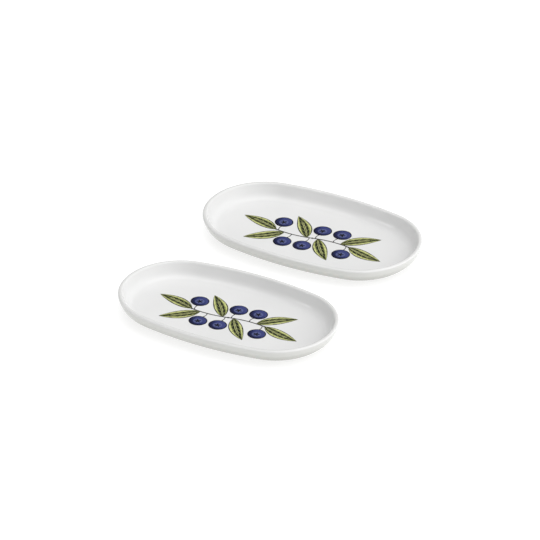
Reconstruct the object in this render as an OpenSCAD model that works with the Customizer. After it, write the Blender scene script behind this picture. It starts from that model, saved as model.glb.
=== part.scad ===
// Pair of oval olive dishes in glazed stoneware. Each stands on a bare foot ring
// and has a fired-on leaf and berry spray on the floor of its well.
// Millimetres. +Z is up, +X runs along the dishes, +Y goes from the front dish to
// the rear one, and the origin is on the table midway between the two.

/* [Outline] */
// Length of one dish from lip to lip
dish_length = 160; // [130:1:240]
// Width of one dish from lip to lip
dish_width = 92.8; // [80:0.2:130]
// Height from the table to the top of the lip
dish_height = 15; // [12:0.5:22]
// Clear space between the two dishes as they stand
dish_gap = 27.4; // [5:0.2:80]

/* [Wall] */
// Thickness of the lip
lip_thickness = 3; // [2.4:0.2:5]
// Radius of the lip's outer edge
lip_round_out = 1.2; // [0.8:0.1:1.5]
// Radius of the lip's inner edge
lip_round_in = 0.8; // [0.7:0.1:0.9]
// Thickness of the floor over the recessed base
floor_thickness = 4; // [2:0.2:5]

/* [Foot] */
// Width of the foot ring
foot_width = 3.6; // [2:0.2:6]
// Height of the foot ring below the base
foot_height = 1.2; // [1:0.1:3]
// Bevel along both edges of the foot ring
foot_bevel = 0.4; // [0.1:0.1:0.8]

/* [Glaze] */
// Thickness of the glaze
glaze_thickness = 0.3; // [0.2:0.05:0.6]

/* [Spray] */
// Thickness of the fired print
print_thickness = 0.1; // [0.05:0.05:0.3]
// Bare floor between the end leaves and the cove
spray_margin = 12.2; // [4:0.2:30]
// Share of the spray's half length that its end leaf takes
leaf_share = 0.51; // [0.4:0.01:0.55]
// Width of a leaf as a share of its length
leaf_slimness = 0.34; // [0.2:0.01:0.36]
// Diameter of a berry as a share of a leaf's length
berry_share = 0.45; // [0.25:0.01:0.48]
// Width of the stem
stem_width = 0.8; // [0.6:0.1:1.6]
// Width of the stalks and leaf ribs
line_width = 0.6; // [0.4:0.1:1]
// Bend radius of each half of the stem as a share of that half's length
bend_share = 2.5; // [1.8:0.1:4]
// Angle at which the stem crosses the length of the dish at its middle
stem_slant = 14; // [8:1:24]
// White line left between two colours of the print
print_gap = 0.3; // [0.2:0.1:0.6]

/* [Hidden] */
$fn = 180;

// Four-arc oval. Its centres lie on a right triangle of whole parts, along whose long side
// an end arc and a side arc meet.
OVAL = [11, 60, 61];
half_length = dish_length / 2;
half_width = dish_width / 2;
oval_part = (half_length - half_width) / (OVAL[0] + OVAL[1] - OVAL[2]);
end_x = OVAL[0] * oval_part;
side_y = -OVAL[1] * oval_part;
end_r = half_length - end_x;
side_r = half_width - side_y;

// The wall's section is made of arcs that touch one another, with the lip's outer face at
// x = 0 and the dish towards -x. Where two arcs touch, the line between their centres runs
// along the long side of a right triangle of whole parts.
SWEEP = [11, 60, 61];
WALL = [7, 24, 25];
COVE = [5, 12, 13];
lip_out = [-lip_round_out, dish_height - lip_round_out];
lip_in = [lip_round_in - lip_thickness, dish_height - lip_round_in];

// Outside: one sweep from the lip to the foot ring
sweep_part = (dish_height - 2 * lip_round_out - foot_height) / (SWEEP[2] - SWEEP[0]);
sweep_r = lip_round_out + SWEEP[2] * sweep_part;
sweep_mid = lip_out + sweep_part * [-SWEEP[1], SWEEP[0]];
foot_inset = -sweep_mid[0];
foot_inner = foot_inset + foot_width;

// Inside: a long arc down from the lip, then a cove into the flat floor
floor_z = foot_height + floor_thickness;
well_depth = dish_height - floor_z;
// One part of the long arc's triangle as a share of the depth
wall_share = 0.2;
wall_part = wall_share * well_depth;
wall_r = WALL[2] * wall_part - lip_round_in;
wall_mid = lip_in + wall_part * [-WALL[1], WALL[0]];
cove_part = ((WALL[2] - WALL[0]) * wall_part - well_depth) / (COVE[2] - COVE[0]);
cove_r = wall_r - COVE[2] * cove_part;
cove_mid = wall_mid + cove_part * [COVE[1], -COVE[0]];
cove_inset = -cove_mid[0];
// Rim of the floor that is one with the wall
floor_rim = lip_thickness;

dish_pitch = dish_width + dish_gap;

// Spray: a stem of two arcs that cross the middle, the same when turned half round. It takes
// the length or the width of the floor, whichever is the tighter.
spray_spread = 2.6;
spray_half = min(
    half_length - cove_inset - spray_margin,
    spray_spread * (half_width - cove_inset)
);
leaf_length = leaf_share * spray_half;
leaf_width = leaf_slimness * leaf_length;
leaf_arc_r = (leaf_length^2 + leaf_width^2) / (4 * leaf_width);
berry_r = berry_share * leaf_length / 2;
// Stalk from the stem to a berry
stalk_share = 0.17;
stalk_length = stalk_share * leaf_length;
stem_reach = spray_half - leaf_length;
stem_bend = bend_share * stem_reach;
// Knots at the middle of the stem and at its tips
knot_share = 0.9;
knot_r = knot_share * stem_width;
// Share of the leaf that its rib runs along
rib_share = 0.72;
// Leaves of one half: place along the stem as a share of its reach, side, and angle off it
LEAVES = [[0.14, -1, 61], [0.75, 1, 43], [1, -1, 4]];
// Berries of one half: place along the stem, side, and angle off it
BERRIES = [[0.08, 1, 80], [0.55, 1, 83], [0.92, -1, 73]];

stoneware = [0.84, 0.79, 0.71];
white_glaze = [0.95, 0.95, 0.94];
leaf_green = [0.66, 0.68, 0.36];
berry_blue = [0.13, 0.18, 0.45];
ink_black = [0.1, 0.1, 0.09];

// The quarters of the plan in which an end arc or a side arc is the outline
module end_quarter() {
    polygon([
        [end_x, 0], [2 * end_x, side_y], [dish_length, side_y],
        [dish_length, -side_y], [2 * end_x, -side_y]
    ]);
}

module side_quarter() {
    polygon([[-end_x, 0], [end_x, 0], [2 * end_x, -side_y], [-2 * end_x, -side_y]]);
}

module full_height() {
    translate([0, 0, -dish_height]) linear_extrude(3 * dish_height) children();
}

// Flat plate with the plan of the dish at a given inset from its lip
module flat_plate(inset, low, high) {
    translate([0, 0, low]) {
        linear_extrude(high - low) intersection() {
            translate([0, side_y]) circle(side_r - inset);
            translate([0, -side_y]) circle(side_r - inset);
            polygon([
                [end_x, 0], [2 * end_x, -side_y], [-2 * end_x, -side_y],
                [-end_x, 0], [-2 * end_x, side_y], [2 * end_x, side_y]
            ]);
        }
        for (x = [-end_x, end_x]) translate([x, 0]) cylinder(h = high - low, r = end_r - inset);
    }
}

// A section carried round the rim: its x = 0 follows the lip's outer face
module round_rim() {
    for (half = [0, 180]) rotate(half) {
        intersection() {
            translate([end_x, 0]) rotate_extrude() translate([end_r, 0]) children();
            full_height() end_quarter();
        }
        intersection() {
            translate([0, side_y]) rotate_extrude() translate([side_r, 0]) children();
            full_height() side_quarter();
        }
    }
}

// Sectors of the wall's arcs, a given skin below the finish
module lip_out_sector(skin) {
    translate(lip_out) intersection() {
        circle(lip_round_out - skin);
        polygon(lip_round_out * [[0, 0], [SWEEP[1], -SWEEP[0]], [SWEEP[1], SWEEP[1]], [0, SWEEP[1]]]);
    }
}

module lip_in_sector(skin) {
    translate(lip_in) intersection() {
        circle(lip_round_in - skin);
        polygon(lip_round_in * [[0, 0], [0, WALL[1]], [-WALL[1], WALL[1]], [-WALL[1], WALL[0]]]);
    }
}

module sweep_sector(skin) {
    translate(sweep_mid) intersection() {
        circle(sweep_r - skin);
        polygon(sweep_r * [[0, 0], [SWEEP[1], -SWEEP[0]], [SWEEP[1], -SWEEP[1]], [0, -SWEEP[1]]]);
    }
}

module wall_sector(skin, rise = 0) {
    translate(wall_mid) intersection() {
        circle(wall_r + skin);
        polygon(wall_r * [[0, 0], [WALL[1], rise - WALL[0]], 2 * [COVE[1], -COVE[0]]]);
    }
}

module cove_sector(skin) {
    translate(cove_mid) intersection() {
        circle(cove_r + skin);
        polygon(cove_r * [[0, 0], [COVE[1], -COVE[0]], [COVE[1], -COVE[1]], [0, -COVE[1]]]);
    }
}

// Clay of the wall between and under the lip's two edges
module wall_section(skin) {
    top = dish_height - skin;
    floor_top = floor_z - skin;
    in_well = lip_in + lip_round_in * [-WALL[1], WALL[0]];
    difference() {
        union() {
            sweep_sector(skin);
            polygon([lip_out, [lip_out[0], top], [lip_in[0], top], lip_in, in_well, sweep_mid]);
        }
        wall_sector(skin, WALL[0]);
        cove_sector(skin);
        polygon([cove_mid, wall_mid, [wall_mid[0], floor_top], [cove_mid[0], floor_top]]);
    }
}

// Strip of the floor that the wall carries
module floor_section(inset, low, high) {
    translate([-inset - floor_rim, low]) square([floor_rim, high - low]);
}

module foot_section(skin) {
    polygon([
        [-foot_inset, foot_height + skin], [-foot_inset, foot_bevel], [-foot_inset - foot_bevel, 0],
        [-foot_inner + foot_bevel, 0], [-foot_inner, foot_bevel], [-foot_inner, foot_height + skin]
    ]);
}

module dish_body() {
    skin = glaze_thickness;
    color(stoneware) {
        round_rim() {
            lip_out_sector(skin);
            lip_in_sector(skin);
            wall_section(skin);
            foot_section(skin);
            floor_section(foot_inset, foot_height + skin, floor_z - skin);
        }
        flat_plate(foot_inset, foot_height + skin, floor_z - skin);
    }
}

module glaze_coat() {
    skin = glaze_thickness;
    color(white_glaze) {
        round_rim() {
            // over the lip
            difference() {
                lip_out_sector(0);
                translate(lip_out) circle(lip_round_out - skin);
            }
            translate([lip_in[0], dish_height - skin]) square([lip_out[0] - lip_in[0], skin]);
            difference() {
                lip_in_sector(0);
                translate(lip_in) circle(lip_round_in - skin);
            }
            // down the outside to the foot ring
            difference() {
                sweep_sector(0);
                translate(sweep_mid) circle(sweep_r - skin);
            }
            // down the inside to the floor
            difference() {
                wall_sector(skin);
                translate(wall_mid) circle(wall_r);
            }
            difference() {
                cove_sector(skin);
                translate(cove_mid) circle(cove_r);
            }
            floor_section(cove_inset, floor_z - skin, floor_z);
        }
        flat_plate(cove_inset, floor_z - skin, floor_z);
    }
}

module base_glaze() {
    color(white_glaze) flat_plate(foot_inner, foot_height, foot_height + glaze_thickness);
}

// Heading of the stem and its point at a given length from the middle
function stem_heading(s) = stem_slant - s / stem_bend * 180 / PI;
function stem_mid() = stem_bend * [sin(stem_slant), -cos(stem_slant)];
function stem_at(s) = stem_mid() + stem_bend * [-sin(stem_heading(s)), cos(stem_heading(s))];

// Puts its children on the stem, with +x along the leaf or stalk that grows there
module growing(place) {
    s = place[0] * stem_reach;
    translate(stem_at(s)) rotate(stem_heading(s) + place[1] * place[2]) children();
}

module both_halves() {
    for (half = [0, 180]) rotate(half) children();
}

// Line along +x from the stem
module line_from_stem(length, grow) {
    translate([0, -line_width / 2 - grow]) square([length, line_width + 2 * grow]);
}

module leaf_shapes() {
    both_halves() for (place = LEAVES)
        growing(place) intersection_for(side = [-1, 1])
            translate([leaf_length / 2, side * (leaf_arc_r - leaf_width / 2)]) circle(leaf_arc_r);
}

// Stem, stalks and leaf ribs, each widened by grow
module stem_shapes(grow) {
    far = 2 * stem_bend;
    circle(knot_r + grow);
    both_halves() {
        translate(stem_at(stem_reach)) circle(knot_r + grow);
        intersection() {
            translate(stem_mid()) difference() {
                circle(stem_bend + stem_width / 2 + grow);
                circle(stem_bend - stem_width / 2 - grow);
            }
            polygon([
                stem_mid(), stem_mid() + far * [-sin(stem_slant), cos(stem_slant)],
                stem_mid() + far * [-sin(stem_heading(stem_reach)), cos(stem_heading(stem_reach))]
            ]);
        }
        for (place = BERRIES) growing(place) line_from_stem(stalk_length - print_gap, grow);
        for (place = LEAVES) growing(place) line_from_stem(rib_share * leaf_length, grow);
    }
}

module print_layer() {
    translate([0, 0, floor_z]) linear_extrude(print_thickness) children();
}

module stem_print() {
    color(ink_black) print_layer() stem_shapes(0);
}

module leaf_print() {
    color(leaf_green) print_layer() difference() {
        leaf_shapes();
        stem_shapes(print_gap);
    }
}

module berry_print() {
    color(berry_blue) print_layer() both_halves() for (place = BERRIES)
        growing(place) translate([stalk_length + berry_r, 0]) circle(berry_r);
}

module at_front() {
    translate([0, -dish_pitch / 2, 0]) children();
}

module at_rear() {
    translate([0, dish_pitch / 2, 0]) children();
}

at_front() dish_body();  // front_dish_body
at_front() glaze_coat();  // front_glaze_coat
at_front() base_glaze();  // front_base_glaze
at_front() stem_print();  // front_stem_print
at_front() leaf_print();  // front_leaf_print
at_front() berry_print();  // front_berry_print
at_rear() dish_body();  // rear_dish_body
at_rear() glaze_coat();  // rear_glaze_coat
at_rear() base_glaze();  // rear_base_glaze
at_rear() stem_print();  // rear_stem_print
at_rear() leaf_print();  // rear_leaf_print
at_rear() berry_print();  // rear_berry_print
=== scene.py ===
import math

import bmesh
import bpy
from mathutils import Matrix, Vector


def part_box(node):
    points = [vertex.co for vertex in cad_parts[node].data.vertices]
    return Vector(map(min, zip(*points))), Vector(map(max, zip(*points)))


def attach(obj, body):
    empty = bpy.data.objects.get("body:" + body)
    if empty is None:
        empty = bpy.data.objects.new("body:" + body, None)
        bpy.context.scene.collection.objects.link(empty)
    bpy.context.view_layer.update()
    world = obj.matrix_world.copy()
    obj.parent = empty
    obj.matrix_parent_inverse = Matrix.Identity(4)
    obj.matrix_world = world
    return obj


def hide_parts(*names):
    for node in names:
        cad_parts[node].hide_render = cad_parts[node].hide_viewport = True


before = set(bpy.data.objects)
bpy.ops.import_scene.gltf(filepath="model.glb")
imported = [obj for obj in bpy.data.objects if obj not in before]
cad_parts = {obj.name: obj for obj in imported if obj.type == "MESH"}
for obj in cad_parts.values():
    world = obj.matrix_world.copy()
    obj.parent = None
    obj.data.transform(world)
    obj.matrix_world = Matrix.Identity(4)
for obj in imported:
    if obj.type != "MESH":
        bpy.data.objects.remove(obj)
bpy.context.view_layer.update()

# sizes of one dish, in metres, as the solids have them
dish = {
    "length": 0.160,
    "width": 0.0928,
    "height": 0.015,
    "lipThickness": 0.003,
    "lipOutRadius": 0.0012,
    "lipInRadius": 0.0008,
    "floorThickness": 0.004,
    "footHeight": 0.0012,
    "wallShare": 0.2,
    "glazeThickness": 0.0003,
    "printThickness": 0.0001,
}
dishNames = ("front", "rear")
mergeDistance = 0.00001  # points closer than this are one
halfway = 0.5            # the middle of a noise value, a painted picture or a blade

# right triangles of whole parts that set where the arcs of the plan and of the wall meet
planParts = (11, 60, 61)
sweepParts = (11, 60, 61)
wallParts = (7, 24, 25)
coveParts = (5, 12, 13)

# plan: two end arcs and two side arcs
halfLength = dish["length"] / 2
halfWidth = dish["width"] / 2
ovalPart = (halfLength - halfWidth) / (planParts[0] + planParts[1] - planParts[2])
endX = planParts[0] * ovalPart
sideY = -planParts[1] * ovalPart
endRadius = halfLength - endX
endTurn = math.atan2(planParts[1], planParts[0])

# outside of the wall: the lip's outer edge, then one sweep to the foot
lipOut = (dish["lipOutRadius"], dish["height"] - dish["lipOutRadius"])
sweepDrop = dish["height"] - 2 * dish["lipOutRadius"] - dish["footHeight"]
sweepPart = sweepDrop / (sweepParts[2] - sweepParts[0])
sweepRadius = dish["lipOutRadius"] + sweepParts[2] * sweepPart
sweepLean = math.atan2(sweepParts[0], sweepParts[1])
sweepMid = (lipOut[0] + sweepParts[1] * sweepPart, lipOut[1] + sweepParts[0] * sweepPart)

# inside of the wall: a long arc down from the lip, then a cove into the floor
lipIn = (dish["lipThickness"] - dish["lipInRadius"], dish["height"] - dish["lipInRadius"])
floorZ = dish["footHeight"] + dish["floorThickness"]
wellDepth = dish["height"] - floorZ
wallPart = dish["wallShare"] * wellDepth
wallRadius = wallParts[2] * wallPart - dish["lipInRadius"]
wallMid = (lipIn[0] + wallParts[1] * wallPart, lipIn[1] + wallParts[0] * wallPart)
covePart = ((wallParts[2] - wallParts[0]) * wallPart - wellDepth) / (coveParts[2] - coveParts[0])
coveRadius = wallRadius - coveParts[2] * covePart
coveLean = math.atan2(coveParts[0], coveParts[1])
coveMid = (wallMid[0] - coveParts[1] * covePart, wallMid[1] - coveParts[0] * covePart)


def dishCentre(name):
    low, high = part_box(name + "_glaze_coat")
    return Vector(((low.x + high.x) / 2, (low.y + high.y) / 2, 0))


# camera: long lens, at the photograph's angle
cameraSetup = {
    "azimuth": 28.6,
    "elevation": 31.0,
    "lens": 1200.0,
    "sensor": 36.0,
    "metresAcross": 0.3700,    # what the picture's width spans at the dishes
    "liftInPicture": 0.0098,   # how far the middle of the picture lies above the origin
    "sideInPicture": -0.0003,  # and to the right of it
    "nearShare": 0.1,          # clipping, as shares of the distance
    "farShare": 2.0,
}


def makeCamera(setup):
    data = bpy.data.cameras.new("studioCamera")
    camera = bpy.data.objects.new("studioCamera", data)
    bpy.context.scene.collection.objects.link(camera)
    data.lens = setup["lens"]
    data.sensor_width = setup["sensor"]
    turn = math.radians(setup["azimuth"])
    rise = math.radians(setup["elevation"])
    rightward = Vector((math.cos(turn), math.sin(turn), 0))
    upward = Vector((-math.sin(turn) * math.sin(rise), math.cos(turn) * math.sin(rise), math.cos(rise)))
    back = Vector((math.sin(turn) * math.cos(rise), -math.cos(turn) * math.cos(rise), math.sin(rise)))
    distance = setup["lens"] / setup["sensor"] * setup["metresAcross"]
    middle = upward * setup["liftInPicture"] + rightward * setup["sideInPicture"]
    camera.location = middle + back * distance
    camera.rotation_mode = "QUATERNION"
    camera.rotation_quaternion = (-back).to_track_quat("-Z", "Y")
    data.clip_start = distance * setup["nearShare"]
    data.clip_end = distance * setup["farShare"]
    bpy.context.scene.camera = camera


makeCamera(cameraSetup)
print("camera set")


# small node helpers
def newMaterial(name):
    material = bpy.data.materials.new(name)
    material.use_nodes = True
    tree = material.node_tree
    return material, tree, tree.nodes["Principled BSDF"]


def connect(tree, value, socket):
    if isinstance(value, bpy.types.NodeSocket):
        tree.links.new(value, socket)
    else:
        socket.default_value = value


def doMath(tree, operation, first, second=0.0):
    node = tree.nodes.new("ShaderNodeMath")
    node.operation = operation
    connect(tree, first, node.inputs[0])
    connect(tree, second, node.inputs[1])
    return node.outputs[0]


def plus(tree, first, second):
    return doMath(tree, "ADD", first, second)


def minus(tree, first, second):
    return doMath(tree, "SUBTRACT", first, second)


def times(tree, first, second):
    return doMath(tree, "MULTIPLY", first, second)


def larger(tree, first, second):
    return doMath(tree, "MAXIMUM", first, second)


def doRange(tree, value, span, ends=(0.0, 1.0)):
    # a soft step from the first end to the second while the value crosses the span
    node = tree.nodes.new("ShaderNodeMapRange")
    node.interpolation_type = "SMOOTHSTEP"
    connect(tree, value, node.inputs["Value"])
    for socket, number in zip(("From Min", "From Max", "To Min", "To Max"), (*span, *ends)):
        node.inputs[socket].default_value = number
    return node.outputs["Result"]


def doMix(tree, factor, first, second):
    # inputs 6 and 7 and output 2 are the node's colours
    node = tree.nodes.new("ShaderNodeMix")
    node.data_type = "RGBA"
    connect(tree, factor, node.inputs[0])
    connect(tree, first, node.inputs[6])
    connect(tree, second, node.inputs[7])
    return node.outputs[2]


def doNoise(tree, vector, scale, detail=2.0, roughness=0.5):
    node = tree.nodes.new("ShaderNodeTexNoise")
    tree.links.new(vector, node.inputs["Vector"])
    node.inputs["Scale"].default_value = scale
    node.inputs["Detail"].default_value = detail
    node.inputs["Roughness"].default_value = roughness
    return node.outputs["Fac"]


def readAttribute(tree, name):
    node = tree.nodes.new("ShaderNodeAttribute")
    node.attribute_name = name
    return node.outputs["Fac"]


def objectPlace(tree):
    return tree.nodes.new("ShaderNodeTexCoord").outputs["Object"]


def paintUv(tree):
    node = tree.nodes.new("ShaderNodeSeparateXYZ")
    tree.links.new(tree.nodes.new("ShaderNodeTexCoord").outputs["UV"], node.inputs[0])
    return node.outputs[0], node.outputs[1]


def joinXyz(tree, x, y, z):
    node = tree.nodes.new("ShaderNodeCombineXYZ")
    for socket, value in zip(node.inputs, (x, y, z)):
        connect(tree, value, socket)
    return node.outputs[0]


def reachFrom(tree, x, y):
    return doMath(tree, "SQRT", plus(tree, times(tree, x, x), times(tree, y, y)))


def addBump(tree, shader, height, distance):
    bump = tree.nodes.new("ShaderNodeBump")
    bump.inputs["Strength"].default_value = 1.0
    bump.inputs["Distance"].default_value = distance
    tree.links.new(height, bump.inputs["Height"])
    tree.links.new(bump.outputs["Normal"], shader.inputs["Normal"])


# fired surface shared by the glaze and the print: slow ripple, fine orange peel, uneven gloss
firedLook = {
    "slowScale": 55.0,
    "slowDetail": 1.0,
    "fineScale": 900.0,
    "patchScale": 22.0,
    "patchSpan": (0.3, 0.7),
    "glossSpread": (-0.03, 0.03),
}


def makeFiredSurface(look):
    group = bpy.data.node_groups.new("firedSurface", "ShaderNodeTree")
    for socket in ("Ripple", "Peel", "Gloss"):
        group.interface.new_socket(socket, in_out="INPUT", socket_type="NodeSocketFloat")
    for socket in ("Height", "Roughness", "Tone"):
        group.interface.new_socket(socket, in_out="OUTPUT", socket_type="NodeSocketFloat")
    given = group.nodes.new("NodeGroupInput").outputs
    result = group.nodes.new("NodeGroupOutput").inputs
    place = objectPlace(group)
    slow = doNoise(group, place, look["slowScale"], look["slowDetail"])
    fine = doNoise(group, place, look["fineScale"])
    patch = doNoise(group, place, look["patchScale"])
    height = plus(group, times(group, slow, given["Ripple"]), times(group, fine, given["Peel"]))
    uneven = doRange(group, patch, look["patchSpan"], look["glossSpread"])
    group.links.new(height, result["Height"])
    group.links.new(plus(group, given["Gloss"], uneven), result["Roughness"])
    group.links.new(patch, result["Tone"])
    return group


firedSurface = makeFiredSurface(firedLook)


def addFiredSurface(tree, shader, look):
    node = tree.nodes.new("ShaderNodeGroup")
    node.node_tree = firedSurface
    node.inputs["Ripple"].default_value = look["ripple"]
    node.inputs["Peel"].default_value = look["peel"]
    node.inputs["Gloss"].default_value = look["gloss"]
    addBump(tree, shader, node.outputs["Height"], look["bumpDistance"])
    tree.links.new(node.outputs["Roughness"], shader.inputs["Roughness"])
    shader.inputs["IOR"].default_value = look["ior"]
    return node.outputs["Tone"]


whiteGlaze = {
    "white": (0.760, 0.760, 0.757, 1),
    "cloud": (0.735, 0.736, 0.733, 1),
    "outside": (0.510, 0.517, 0.482, 1),  # painted shade on the outer wall, darker towards the foot, and a little creamier
    "heelShade": (0.330, 0.330, 0.303, 1),     # painted shade, darkest low on the sweep just above the foot ring
    "wornShadedLip": (0.690, 0.690, 0.680, 1),
    "cloudSpan": (0.35, 0.7),
    "wornShadeSpan": (0.3, 0.6),               # the lip's crest is darker in patches: worn glaze, and painted shade that dims the lip
    "wornShadeShare": (0.6, 1.0),
    "ripple": 1.0,
    "peel": 0.10,
    "gloss": 0.13,
    "bumpDistance": 0.00006,
    "ior": 1.5,
}

# under the foot the white glaze is painted darker and a little creamier, the same painted shade as low on
# the outer wall
shadedBaseGlaze = {
    **whiteGlaze,
    "white": (0.580, 0.586, 0.556, 1),
    "cloud": (0.545, 0.551, 0.518, 1),
}


def makeWhiteGlaze(name, look):
    material, tree, shader = newMaterial(name)
    tone = addFiredSurface(tree, shader, look)
    body = doMix(tree, doRange(tree, tone, look["cloudSpan"]), look["white"], look["cloud"])
    # painted shade: the outer wall darkens towards the foot, darkest just above the foot ring
    for mark in ("outside", "heelShade"):
        body = doMix(tree, readAttribute(tree, mark), body, look[mark])
    # patches on the lip's crest are darkened, partly wear and partly painted shade
    patches = doRange(tree, tone, look["wornShadeSpan"], look["wornShadeShare"])
    wornShaded = times(tree, readAttribute(tree, "lipCrest"), patches)
    connect(tree, doMix(tree, wornShaded, body, look["wornShadedLip"]), shader.inputs["Base Color"])
    return material


bareClay = {
    "pale": (0.70, 0.63, 0.52, 1),
    "dark": (0.55, 0.47, 0.37, 1),
    "speck": (0.38, 0.31, 0.24, 1),
    "grainScale": 2600.0,
    "grainDetail": 3.0,
    "grainRoughness": 0.6,
    "speckScale": 1900.0,
    "speckDetail": 0.0,
    "speckSpan": (0.72, 0.76),
    "dullSpan": (0.2, 0.8),
    "dullEnds": (0.7, 0.9),
    "bumpDistance": 0.00008,
}


def makeBareClay(look):
    material, tree, shader = newMaterial("bareClay")
    place = objectPlace(tree)
    grain = doNoise(tree, place, look["grainScale"], look["grainDetail"], look["grainRoughness"])
    speck = doRange(tree, doNoise(tree, place, look["speckScale"], look["speckDetail"]), look["speckSpan"])
    body = doMix(tree, grain, look["pale"], look["dark"])
    connect(tree, doMix(tree, speck, body, look["speck"]), shader.inputs["Base Color"])
    connect(tree, doRange(tree, grain, look["dullSpan"], look["dullEnds"]), shader.inputs["Roughness"])
    addBump(tree, shader, grain, look["bumpDistance"])
    return material


# what the three fired colours of the print have in common
enamel = {
    "ripple": 0.6,
    "peel": 0.25,
    "gloss": 0.2,
    "bumpDistance": 0.00006,
    "ior": 1.18,
    "brushDetail": 3.0,
    "brushRoughness": 0.6,
}


def makeWobble(tree, scale):
    return minus(tree, doNoise(tree, objectPlace(tree), scale), halfway)


# across a blade 0 is the rib and 1 the rim, along it 0 is the stalk and 1 the tip
leafPaint = {
    **enamel,
    "light": (0.60, 0.62, 0.26, 1),
    "middle": (0.30, 0.33, 0.10, 1),
    "dark": (0.016, 0.019, 0.010, 1),
    "vein": (0.21, 0.23, 0.08, 1),
    "ink": (0.010, 0.010, 0.009, 1),
    "ribSideSpan": (0.86, 0.24),   # shade beside the rib
    "ribSideShade": (0.0, 0.80),
    "stalkSpan": (0.45, 0.0),      # shade towards the stalk
    "stalkShade": (0.0, 0.35),
    "cloudScale": 2.4,
    "cloudShade": 0.5,
    "middleSpan": (0.05, 0.40),    # shade at which the middle tone sets in, and the dark one
    "darkSpan": (0.34, 0.58),
    "veins": 6.0,                  # side veins on each half of a blade
    "veinSlant": 0.24,             # how far a vein runs towards the tip, as a share of the length
    "veinSpan": (0.11, 0.04),      # a vein's edge, as a share of the step to the next
    "veinReach": (0.86, 0.66),
    "ribShare": 0.72,              # how far the rib runs along the blade
    "ribFade": 0.03,
    "ribSpan": (0.075, 0.05),
    "ribWobble": 0.05,
    "ribLineSpan": (0.15, 0.11),
    "contourSpan": (0.80, 0.90),
    "contourWobble": 0.22,
    "endSpan": (0.465, 0.485),     # contour at stalk and tip, from the middle of the length
    "wobbleScale": 420.0,
}


def makeLeafPaint(look):
    material, tree, shader = newMaterial("leafPaint")
    addFiredSurface(tree, shader, look)
    along, across = paintUv(tree)
    across = minus(tree, times(tree, across, 2.0), 1.0)
    edge = doMath(tree, "ABSOLUTE", across)
    wobble = makeWobble(tree, look["wobbleScale"])
    cloudPlace = joinXyz(tree, along, across, readAttribute(tree, "leafNumber"))
    cloud = doNoise(tree, cloudPlace, look["cloudScale"], look["brushDetail"], look["brushRoughness"])
    # dark beside the rib and towards the stalk, light at the rim
    besideRib = doRange(tree, edge, look["ribSideSpan"], look["ribSideShade"])
    shade = plus(tree, besideRib, doRange(tree, along, look["stalkSpan"], look["stalkShade"]))
    shade = plus(tree, shade, times(tree, minus(tree, cloud, halfway), look["cloudShade"]))
    paint = doMix(tree, doRange(tree, shade, look["middleSpan"]), look["light"], look["middle"])
    paint = doMix(tree, doRange(tree, shade, look["darkSpan"]), paint, look["dark"])
    # paler veins in pairs, slanting from the rib towards the tip
    veinPlace = minus(tree, along, times(tree, edge, look["veinSlant"]))
    veinPlace = doMath(tree, "FRACT", times(tree, veinPlace, look["veins"]))
    vein = doRange(tree, doMath(tree, "ABSOLUTE", minus(tree, veinPlace, halfway)), look["veinSpan"])
    vein = times(tree, vein, doRange(tree, edge, look["veinReach"]))
    paint = doMix(tree, vein, paint, look["vein"])
    # the inked rib has a pale line on either side
    ribEnd = (look["ribShare"] + look["ribFade"], look["ribShare"] - look["ribFade"])
    ribFade = doRange(tree, along, ribEnd)
    ribLine = times(tree, doRange(tree, edge, look["ribLineSpan"]), ribFade)
    paint = doMix(tree, ribLine, paint, look["light"])
    ribEdge = plus(tree, edge, times(tree, wobble, look["ribWobble"]))
    rib = times(tree, doRange(tree, ribEdge, look["ribSpan"]), ribFade)
    contourEdge = plus(tree, edge, times(tree, wobble, look["contourWobble"]))
    contour = doRange(tree, contourEdge, look["contourSpan"])
    ends = doRange(tree, doMath(tree, "ABSOLUTE", minus(tree, along, halfway)), look["endSpan"])
    ink = larger(tree, rib, larger(tree, contour, ends))
    connect(tree, doMix(tree, ink, paint, look["ink"]), shader.inputs["Base Color"])
    return material


# a berry's own picture is 1 wide, so its rim lies 0.5 from the middle
berryPaint = {
    **enamel,
    "light": (0.042, 0.052, 0.175, 1),
    "middle": (0.014, 0.021, 0.098, 1),
    "dark": (0.004, 0.006, 0.036, 1),
    "ink": (0.004, 0.004, 0.008, 1),
    "bloom": (0.15, 0.175, 0.36, 1),
    "sweepRound": 9.0,             # brush marks follow the round of the berry
    "sweepAcross": 2.0,
    "streakScale": 1.8,
    "lightFrom": (0.55, 0.75),
    "lightSpan": (0.40, 0.75),
    "darkReach": 1.6,
    "darkSpan": (0.45, 1.0),
    "contourSpan": (0.435, 0.465),
    "contourWobble": 0.06,
    "crownPlace": (0.50, 0.47),
    "crownRadius": 0.19,
    "crownPoints": 5.0,
    "crownDepth": 0.32,
    "crownSpan": (0.012, -0.012),
    "bloomSpan": (1.45, 1.15),     # shares of the crown's radius
    "bloomShare": 0.45,
    "wobbleScale": 500.0,
}


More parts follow.
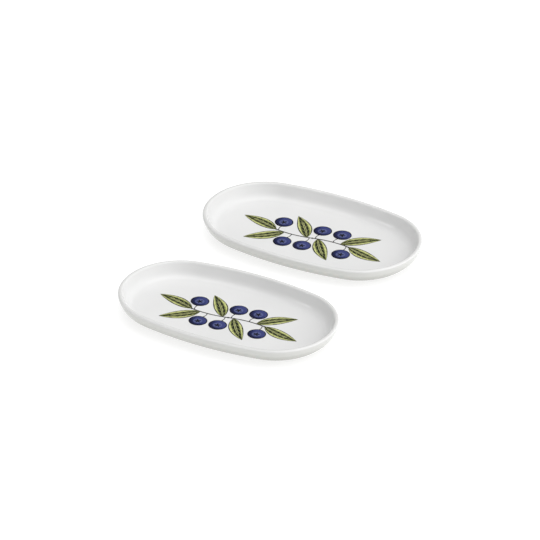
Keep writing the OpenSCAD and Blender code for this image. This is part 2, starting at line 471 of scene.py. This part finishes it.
def makeBerryPaint(look):
    material, tree, shader = newMaterial("berryPaint")
    addFiredSurface(tree, shader, look)
    x, y = paintUv(tree)
    offX = minus(tree, x, halfway)
    offY = minus(tree, y, halfway)
    reach = reachFrom(tree, offX, offY)
    wobble = makeWobble(tree, look["wobbleScale"])
    number = readAttribute(tree, "berryNumber")
    # brush marks, lighter on one side and dark low on the other
    sweepRound = times(tree, reach, look["sweepRound"])
    sweepAcross = times(tree, offX, look["sweepAcross"])
    sweep = joinXyz(tree, sweepRound, sweepAcross, number)
    streak = doNoise(tree, sweep, look["streakScale"], look["brushDetail"], look["brushRoughness"])
    lit = plus(tree, times(tree, offX, look["lightFrom"][0]), times(tree, offY, look["lightFrom"][1]))
    bright = doRange(tree, plus(tree, streak, lit), look["lightSpan"])
    paint = doMix(tree, bright, look["middle"], look["light"])
    low = doRange(tree, minus(tree, times(tree, reach, look["darkReach"]), lit), look["darkSpan"])
    paint = doMix(tree, low, paint, look["dark"])
    contourEdge = plus(tree, reach, times(tree, wobble, look["contourWobble"]))
    paint = doMix(tree, doRange(tree, contourEdge, look["contourSpan"]), paint, look["ink"])
    # the berry's crown: a dark star on a ring of pale bloom
    crownX = minus(tree, x, look["crownPlace"][0])
    crownY = minus(tree, y, look["crownPlace"][1])
    crownReach = reachFrom(tree, crownX, crownY)
    turn = times(tree, doMath(tree, "ARCTAN2", crownY, crownX), look["crownPoints"])
    turn = plus(tree, turn, number)
    point = times(tree, doMath(tree, "COSINE", turn), look["crownDepth"])
    starEdge = times(tree, plus(tree, point, 1 - look["crownDepth"]), look["crownRadius"])
    star = doRange(tree, minus(tree, crownReach, starEdge), look["crownSpan"])
    ring = doRange(tree, crownReach, [look["crownRadius"] * share for share in look["bloomSpan"]])
    paint = doMix(tree, times(tree, ring, look["bloomShare"]), paint, look["bloom"])
    connect(tree, doMix(tree, star, paint, look["ink"]), shader.inputs["Base Color"])
    return material


inkLine = {
    **enamel,
    "ink": (0.014, 0.013, 0.012, 1),
    "faded": (0.045, 0.042, 0.034, 1),
    "fadeScale": 380.0,
    "fadeSpan": (0.45, 0.75),
}


def makeInkLine(look):
    material, tree, shader = newMaterial("inkLine")
    addFiredSurface(tree, shader, look)
    fade = doRange(tree, doNoise(tree, objectPlace(tree), look["fadeScale"]), look["fadeSpan"])
    connect(tree, doMix(tree, fade, look["ink"], look["faded"]), shader.inputs["Base Color"])
    return material


glazeMaterial = makeWhiteGlaze("whiteGlaze", whiteGlaze)
shadedBaseMaterial = makeWhiteGlaze("shadedBaseGlaze", shadedBaseGlaze)
clayMaterial = makeBareClay(bareClay)
leafMaterial = makeLeafPaint(leafPaint)
berryMaterial = makeBerryPaint(berryPaint)
inkMaterial = makeInkLine(inkLine)
print("materials made")


# mesh helpers
def deselectAll():
    if bpy.context.object and bpy.context.object.mode != "OBJECT":
        bpy.ops.object.mode_set(mode="OBJECT")
    bpy.ops.object.select_all(action="DESELECT")


def selectOnly(piece):
    deselectAll()
    piece.select_set(True)
    bpy.context.view_layer.objects.active = piece


def selectVerts(piece, chosen):
    editMesh = bmesh.from_edit_mesh(piece.data)
    for vert in editMesh.verts:
        vert.select_set(bool(chosen(vert.co)))
    editMesh.select_flush_mode()
    bmesh.update_edit_mesh(piece.data)


def placeMesh(piece):
    selectOnly(piece)
    bpy.ops.object.transform_apply(location=True, rotation=True, scale=True)


def startPoint(place, size):
    # a plane drawn together to its middle, left in edit mode to be extruded
    deselectAll()
    bpy.ops.mesh.primitive_plane_add(size=size, location=place)
    piece = bpy.context.object
    placeMesh(piece)
    bpy.ops.object.mode_set(mode="EDIT")
    bpy.ops.mesh.select_mode(type="VERT")
    bpy.ops.mesh.select_all(action="SELECT")
    bpy.ops.mesh.merge(type="CENTER")
    return piece


def setMaterial(piece, material):
    piece.data.materials.clear()
    piece.data.materials.append(material)


# glaze coat: the wall's profile is drawn point by point, then spun round the four arcs
coat = {
    "coveSteps": 18,
    "wallSteps": 6,
    "lipSteps": 8,
    "sweepSteps": 18,
    "beadSteps": 4,
    "endSpin": 64,
    "sideSpin": 26,
    "smoothAngle": math.radians(50),
    "lipCrestWidth": 0.0005,
    "lipSoftRadius": 0.0013,  # the glaze rounds the lip's inner edge more than the clay
    "outsideStart": 0.60,     # upward part of the normal where the painted shade on the outer wall sets in
    "outsideEnd": -0.85,      # and where it is full, low on the sweep
    "heelShadeStart": -0.40,       # the same for the darker painted shade just above the foot ring
    "heelShadeEnd": -0.90,
}


def arcPoints(middle, radius, start, end, steps):
    points = []
    for step in range(steps + 1):
        angle = start + (end - start) * step / steps
        points.append((middle[0] + radius * math.cos(angle), middle[1] + radius * math.sin(angle)))
    return points


def coatSide(look, skin):
    # from the floor up the cove and the wall, over the lip and down the outer sweep
    softRadius = look["lipSoftRadius"]
    softReach = wallRadius + softRadius
    softLean = math.asin((wallMid[1] - dish["height"] + softRadius) / softReach)
    softMid = (wallMid[0] - softReach * math.cos(softLean), dish["height"] - softRadius)
    coveTop = -math.pi + coveLean
    wallTop = -math.pi + softLean
    sweepTop = math.pi + sweepLean
    side = arcPoints(coveMid, coveRadius + skin, -math.pi / 2, coveTop, look["coveSteps"])
    side += arcPoints(wallMid, wallRadius + skin, coveTop, wallTop, look["wallSteps"])[1:]
    side += arcPoints(softMid, softRadius - skin, softLean, math.pi / 2, look["lipSteps"])[1:]
    side += arcPoints(lipOut, dish["lipOutRadius"] - skin, math.pi / 2, sweepTop, look["lipSteps"])
    side += arcPoints(sweepMid, sweepRadius - skin, sweepTop, 1.5 * math.pi, look["sweepSteps"])[1:]
    return side


def coatProfile(look):
    # x runs inwards from the lip's outer face, y is the height
    skin = dish["glazeThickness"]
    beadMid = (sweepMid[0], dish["footHeight"] + skin / 2)
    bead = arcPoints(beadMid, skin / 2, -math.pi / 2, math.pi / 2, look["beadSteps"])
    return coatSide(look, 0) + bead[1:-1] + coatSide(look, skin)[::-1]


def makeGlazeCoat(name, look):
    centre = dishCentre(name)
    startWay = Vector((math.cos(-endTurn), math.sin(-endTurn), 0))
    endMid = Vector((endX, 0, 0)) + centre
    places = [endMid + startWay * (endRadius - inset) + Vector((0, 0, z)) for inset, z in coatProfile(look)]
    piece = startPoint(places[0], dish["glazeThickness"])
    piece.name = name + "GlazeCoat"
    for here, there in zip(places, places[1:]):
        bpy.ops.mesh.extrude_region_move(TRANSFORM_OT_translate={"value": there - here})
    bpy.ops.mesh.select_all(action="SELECT")
    turns = [
        (Vector((endX, 0, 0)), 2 * endTurn, look["endSpin"]),
        (Vector((0, sideY, 0)), math.pi - 2 * endTurn, look["sideSpin"]),
        (Vector((-endX, 0, 0)), 2 * endTurn, look["endSpin"]),
        (Vector((0, -sideY, 0)), math.pi - 2 * endTurn, look["sideSpin"]),
    ]
    for middle, angle, steps in turns:
        bpy.ops.mesh.spin(steps=steps, angle=-angle, center=middle + centre, axis=(0, 0, 1))
    bpy.ops.mesh.select_all(action="SELECT")
    bpy.ops.mesh.remove_doubles(threshold=mergeDistance)
    # the flat floor, over and under
    bpy.ops.mesh.select_all(action="DESELECT")
    bpy.ops.mesh.select_mode(type="EDGE")
    bpy.ops.mesh.select_non_manifold(
        extend=False, use_wire=False, use_multi_face=False, use_non_contiguous=False)
    bpy.ops.mesh.edge_face_add()
    bpy.ops.mesh.select_all(action="SELECT")
    bpy.ops.mesh.normals_make_consistent(inside=False)
    bpy.ops.object.mode_set(mode="OBJECT")
    bpy.ops.object.shade_smooth_by_angle(angle=look["smoothAngle"])
    return piece


def stampGlaze(piece, centre, look):
    # painted shade: outward faces darken as their normal turns down, and darker still low on the sweep
    for mark in ("outside", "heelShade", "lipCrest"):
        piece.data.attributes.new(mark, "FLOAT", "POINT")
    marks = piece.data.attributes
    for vert in piece.data.vertices:
        facesOut = (vert.co - centre).xy.dot(vert.normal.xy) > 0
        for mark in ("outside", "heelShade"):
            start = look[mark + "Start"]
            tone = (start - vert.normal.z) / (start - look[mark + "End"])
            marks[mark].data[vert.index].value = min(1, max(0, tone)) if facesOut else 0
        crest = 1 - abs(dish["height"] - vert.co.z) / look["lipCrestWidth"]
        marks["lipCrest"].data[vert.index].value = max(0, crest)


for name in dishNames:
    glazeCoat = makeGlazeCoat(name, coat)
    stampGlaze(glazeCoat, dishCentre(name), coat)
    setMaterial(glazeCoat, glazeMaterial)
    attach(glazeCoat, name + "_dish")
    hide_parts(name + "_glaze_coat")
    print(glazeCoat.name, len(glazeCoat.data.polygons), "faces")

for name in dishNames:
    setMaterial(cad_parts[name + "_dish_body"], clayMaterial)
    # the base glaze gets the darker copy of the white glaze, painted shade
    setMaterial(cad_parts[name + "_base_glaze"], shadedBaseMaterial)
print("clay and base glaze finished")


# the printed spray, laid out as in the solids: two half stems, the same when turned half round
spray = {
    "margin": 0.0122,
    "leafShare": 0.51,
    "leafSlimness": 0.34,
    "berryShare": 0.45,
    "stalkShare": 0.17,
    "bendShare": 2.5,
    "stemWidth": 0.0008,
    "lineWidth": 0.0006,
    "knotShare": 0.9,
    "stemSlant": math.radians(14),
    # share along the half stem, side, angle off it in degrees
    "leaves": ((0.14, -1, 61), (0.75, 1, 43), (1.0, -1, 4)),
    "berries": ((0.08, 1, 80), (0.55, 1, 83), (0.92, -1, 73)),
    "sink": 0.00002,      # how far the print is let into the glaze
    "rowShare": 0.001,    # points this near along a blade or stalk are one row
}
sprayHalf = halfLength - coveMid[0] - spray["margin"]
leafLength = spray["leafShare"] * sprayHalf
leafWidth = spray["leafSlimness"] * leafLength
berryRadius = spray["berryShare"] * leafLength / 2
stalkLength = spray["stalkShare"] * leafLength
stemReach = sprayHalf - leafLength
stemBend = spray["bendShare"] * stemReach
knotRadius = spray["knotShare"] * spray["stemWidth"]
printTop = floorZ + dish["printThickness"]
halfTurns = (0.0, math.pi)


def stemHeading(length):
    return spray["stemSlant"] - length / stemBend


def stemMiddle():
    slant = spray["stemSlant"]
    return stemBend * Vector((math.sin(slant), -math.cos(slant), 0))


def stemPoint(length):
    heading = stemHeading(length)
    return stemMiddle() + stemBend * Vector((-math.sin(heading), math.cos(heading), 0))


def growthPlaces(rows):
    places = []
    for halfTurn in halfTurns:
        for share, side, angle in rows:
            length = share * stemReach
            turn = stemHeading(length) + side * math.radians(angle)
            grow = Matrix.Rotation(halfTurn, 4, "Z") @ Matrix.Translation(stemPoint(length))
            places.append((grow @ Matrix.Rotation(turn, 4, "Z"), side))
    return places


def printPlace(name):
    return Matrix.Translation(dishCentre(name) + Vector((0, 0, printTop)))


def makeStrip(length, width, stepsAlong, stepsAcross):
    deselectAll()
    bpy.ops.mesh.primitive_grid_add(
        x_subdivisions=stepsAlong, y_subdivisions=stepsAcross, size=1, calc_uvs=True)
    strip = bpy.context.object
    strip.scale = (length, width, 1)
    strip.location = (length / 2, 0, 0)
    placeMesh(strip)
    return strip


def shapeRows(strip, length, steps, widthAt, bow):
    # each row of points takes its share of the width and its place on the bow, a parabola
    bpy.ops.object.mode_set(mode="EDIT")
    for step in range(steps + 1):
        share = step / steps
        x = share * length
        selectVerts(strip, lambda co: abs(co.x - x) < length * spray["rowShare"])
        bpy.ops.transform.resize(value=(1, widthAt(share), 1), center_override=(x, 0, 0))
        bpy.ops.transform.translate(value=(0, 4 * bow * share * (1 - share), 0))
    bpy.ops.object.mode_set(mode="OBJECT")


def makeDisc(sides, radius, stretch):
    deselectAll()
    bpy.ops.mesh.primitive_circle_add(vertices=sides, radius=radius, fill_type="NGON", calc_uvs=True)
    disc = bpy.context.object
    bpy.ops.object.mode_set(mode="EDIT")
    bpy.ops.mesh.select_all(action="SELECT")
    bpy.ops.transform.resize(value=(*stretch, 1))
    bpy.ops.object.mode_set(mode="OBJECT")
    return disc


def copyPiece(piece, matrix):
    twin = piece.copy()
    twin.data = piece.data.copy()
    bpy.context.scene.collection.objects.link(twin)
    twin.data.transform(matrix)
    return twin


def fillAttribute(piece, name, value):
    attribute = piece.data.attributes.new(name, "FLOAT", "POINT")
    attribute.data.foreach_set("value", [value] * len(piece.data.vertices))


def joinPieces(pieces, name):
    deselectAll()
    for piece in pieces:
        piece.select_set(True)
    bpy.context.view_layer.objects.active = pieces[0]
    bpy.ops.object.join()
    joined = bpy.context.object
    joined.name = name
    return joined


def thicken(piece):
    selectOnly(piece)
    solid = piece.modifiers.new("enamel", "SOLIDIFY")
    solid.thickness = dish["printThickness"] + spray["sink"]
    solid.offset = -1
    bpy.ops.object.modifier_apply(modifier=solid.name)


leafShape = {
    "stepsAlong": 28,
    "stepsAcross": 6,
    "widest": 0.44,     # share of the length where the blade is widest
    "fullness": 0.85,   # lower is fuller towards stalk and tip
    "tipWidth": 0.004,  # share of the width that stays at stalk and tip
    "bow": 0.0012,      # sideways bow of the rib
    "toneStep": 3.7,    # keeps the brushwork of the leaves apart
}


def makeLeaf(shape):
    skew = math.log(halfway) / math.log(shape["widest"])

    def bladeWidth(share):
        return max(shape["tipWidth"], math.sin(math.pi * share ** skew) ** shape["fullness"])

    leaf = makeStrip(leafLength, leafWidth, shape["stepsAlong"], shape["stepsAcross"])
    shapeRows(leaf, leafLength, shape["stepsAlong"], bladeWidth, shape["bow"])
    return leaf


def makeLeafPrint(name):
    model = makeLeaf(leafShape)
    blades = []
    for number, (place, side) in enumerate(growthPlaces(spray["leaves"])):
        blade = copyPiece(model, Matrix.Diagonal((1, side, 1, 1)))
        if side < 0:
            blade.data.flip_normals()
        blade.data.transform(printPlace(name) @ place)
        fillAttribute(blade, "leafNumber", number * leafShape["toneStep"])
        blades.append(blade)
    bpy.data.objects.remove(model)
    leafPrint = joinPieces(blades, name + "LeafPrint")
    thicken(leafPrint)
    return leafPrint


berryShape = {
    "sides": 40,
    "stretch": (1.0, 0.95),  # a berry is a little longer than wide
    "toneStep": 5.3,         # keeps the brushwork of the berries apart
}


def makeBerryPrint(name):
    model = makeDisc(berryShape["sides"], berryRadius, berryShape["stretch"])
    berries = []
    stalkEnd = Vector((stalkLength + berryRadius, 0, 0))
    for number, (place, side) in enumerate(growthPlaces(spray["berries"])):
        # light falls on every berry from the same side, so none is turned with its stalk
        berry = copyPiece(model, printPlace(name) @ Matrix.Translation(place @ stalkEnd))
        fillAttribute(berry, "berryNumber", number * berryShape["toneStep"])
        berries.append(berry)
    bpy.data.objects.remove(model)
    berryPrint = joinPieces(berries, name + "BerryPrint")
    thicken(berryPrint)
    return berryPrint


stemShape = {
    "spinSteps": 24,
    "stalkSteps": 6,
    "stalkBow": 0.0006,
    "stalkFlare": 1.25,          # width at both ends of a stalk, as a share of the line
    "stalkWaist": 0.45,          # and how much less it is between them
    "knotSides": 20,
    "knotStretch": (1.15, 1.0),
}


def makeHalfStem(shape):
    slant = spray["stemSlant"]
    across = Vector((-math.sin(slant), math.cos(slant), 0)) * spray["stemWidth"]
    stem = startPoint(-across / 2, spray["stemWidth"])
    bpy.ops.mesh.extrude_region_move(TRANSFORM_OT_translate={"value": across})
    bpy.ops.mesh.select_all(action="SELECT")
    bpy.ops.mesh.spin(
        steps=shape["spinSteps"], angle=stemReach / stemBend, center=stemMiddle(), axis=(0, 0, 1))
    bpy.ops.object.mode_set(mode="OBJECT")
    return stem


def makeStalk(shape):
    def stalkWidth(share):
        return shape["stalkFlare"] - shape["stalkWaist"] * math.sin(math.pi * share)

    length = stalkLength + spray["lineWidth"] / 2
    stalk = makeStrip(length, spray["lineWidth"], shape["stalkSteps"], 1)
    shapeRows(stalk, length, shape["stalkSteps"], stalkWidth, shape["stalkBow"])
    return stalk


def makeStemPrint(name):
    halfStem = makeHalfStem(stemShape)
    stalk = makeStalk(stemShape)
    knot = makeDisc(stemShape["knotSides"], knotRadius, stemShape["knotStretch"])
    middle = printPlace(name)
    lines = [copyPiece(knot, middle)]
    for halfTurn in halfTurns:
        turned = middle @ Matrix.Rotation(halfTurn, 4, "Z")
        lines.append(copyPiece(halfStem, turned))
        lines.append(copyPiece(knot, turned @ Matrix.Translation(stemPoint(stemReach))))
    for place, side in growthPlaces(spray["berries"]):
        lines.append(copyPiece(stalk, middle @ place))
    for model in (halfStem, stalk, knot):
        bpy.data.objects.remove(model)
    stemPrint = joinPieces(lines, name + "StemPrint")
    selectOnly(stemPrint)
    bpy.ops.object.mode_set(mode="EDIT")
    bpy.ops.mesh.select_all(action="SELECT")
    bpy.ops.mesh.remove_doubles(threshold=mergeDistance)
    bpy.ops.mesh.normals_make_consistent(inside=False)
    bpy.ops.object.mode_set(mode="OBJECT")
    for polygon in stemPrint.data.polygons:
        if polygon.normal.z < 0:
            polygon.flip()
    thicken(stemPrint)
    return stemPrint


printMakers = (
    (makeLeafPrint, "_leaf_print", leafMaterial, "leaf_enamel"),
    (makeBerryPrint, "_berry_print", berryMaterial, "berry_enamel"),
    (makeStemPrint, "_stem_print", inkMaterial, "ink_enamel"),
)
for name in dishNames:
    for makePrint, node, material, slot in printMakers:
        layer = makePrint(name)
        setMaterial(layer, material)
        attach(layer, name + "_dish")
        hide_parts(name + node)
        print(layer.name, len(layer.data.polygons), "faces")


# studio: a white table that glows a little, a broad panel overhead, another on the right, a small strip
# on the left for the glints in the glaze, pale surround
studio = {
    "floorSize": 8.0,
    "floorColour": (0.40, 0.40, 0.40, 1),
    "floorRoughness": 0.4,
    "floorGlow": 0.72,
    "glowColour": (1, 1, 1, 1),
    "surroundColour": (1, 1, 1, 1),
    "surroundStrength": 0.68,
    "surroundTilt": (0.30, -0.06, 0.0),  # brighter to the right and the front
    # each panel may light the dishes, show in their gloss, or both
    "panels": {
        "topPanel": {
            "place": (0.0, 0.1, 1.6),
            "size": (1.6, 1.6),
            "power": 9.9,
            "lights": True,
            "shows": True,
        },
        "sidePanel": {
            "place": (1.75, 0.5, 1.0),
            "size": (1.4, 1.4),
            "power": 14.5,
            "lights": True,
            "shows": False,
        },
        "leftStrip": {
            "place": (-1.06, -0.76, 1.24),
            "size": (0.30, 0.16),
            "power": 1.1,
            "lights": False,
            "shows": True,
        },
    },
}


def makeFloor(setup):
    deselectAll()
    bpy.ops.mesh.primitive_plane_add(size=setup["floorSize"])
    floor = bpy.context.object
    floor.name = "studioFloor"
    material, tree, shader = newMaterial("studioWhite")
    shader.inputs["Base Color"].default_value = setup["floorColour"]
    shader.inputs["Roughness"].default_value = setup["floorRoughness"]
    shader.inputs["Emission Color"].default_value = setup["glowColour"]
    shader.inputs["Emission Strength"].default_value = setup["floorGlow"]
    setMaterial(floor, material)


def makeSurround(setup):
    world = bpy.data.worlds.new("studioSurround")
    world.use_nodes = True
    tree = world.node_tree
    tilt = tree.nodes.new("ShaderNodeVectorMath")
    tilt.operation = "DOT_PRODUCT"
    tree.links.new(tree.nodes.new("ShaderNodeTexCoord").outputs["Generated"], tilt.inputs[0])
    tilt.inputs[1].default_value = setup["surroundTilt"]
    surround = tree.nodes["Background"]
    surround.inputs["Color"].default_value = setup["surroundColour"]
    strength = plus(tree, tilt.outputs["Value"], setup["surroundStrength"])
    connect(tree, strength, surround.inputs["Strength"])
    bpy.context.scene.world = world


def makePanel(name, setup):
    data = bpy.data.lights.new(name, "AREA")
    data.shape = "RECTANGLE"
    data.size, data.size_y = setup["size"]
    data.energy = setup["power"]
    panel = bpy.data.objects.new(name, data)
    bpy.context.scene.collection.objects.link(panel)
    panel.location = setup["place"]
    panel.rotation_mode = "QUATERNION"
    panel.rotation_quaternion = (-Vector(setup["place"])).to_track_quat("-Z", "Y")
    panel.visible_diffuse = setup["lights"]
    panel.visible_glossy = setup["shows"]


makeFloor(studio)
makeSurround(studio)
for name, setup in studio["panels"].items():
    makePanel(name, setup)
bpy.context.scene.view_settings.view_transform = "Standard"
print("studio set")
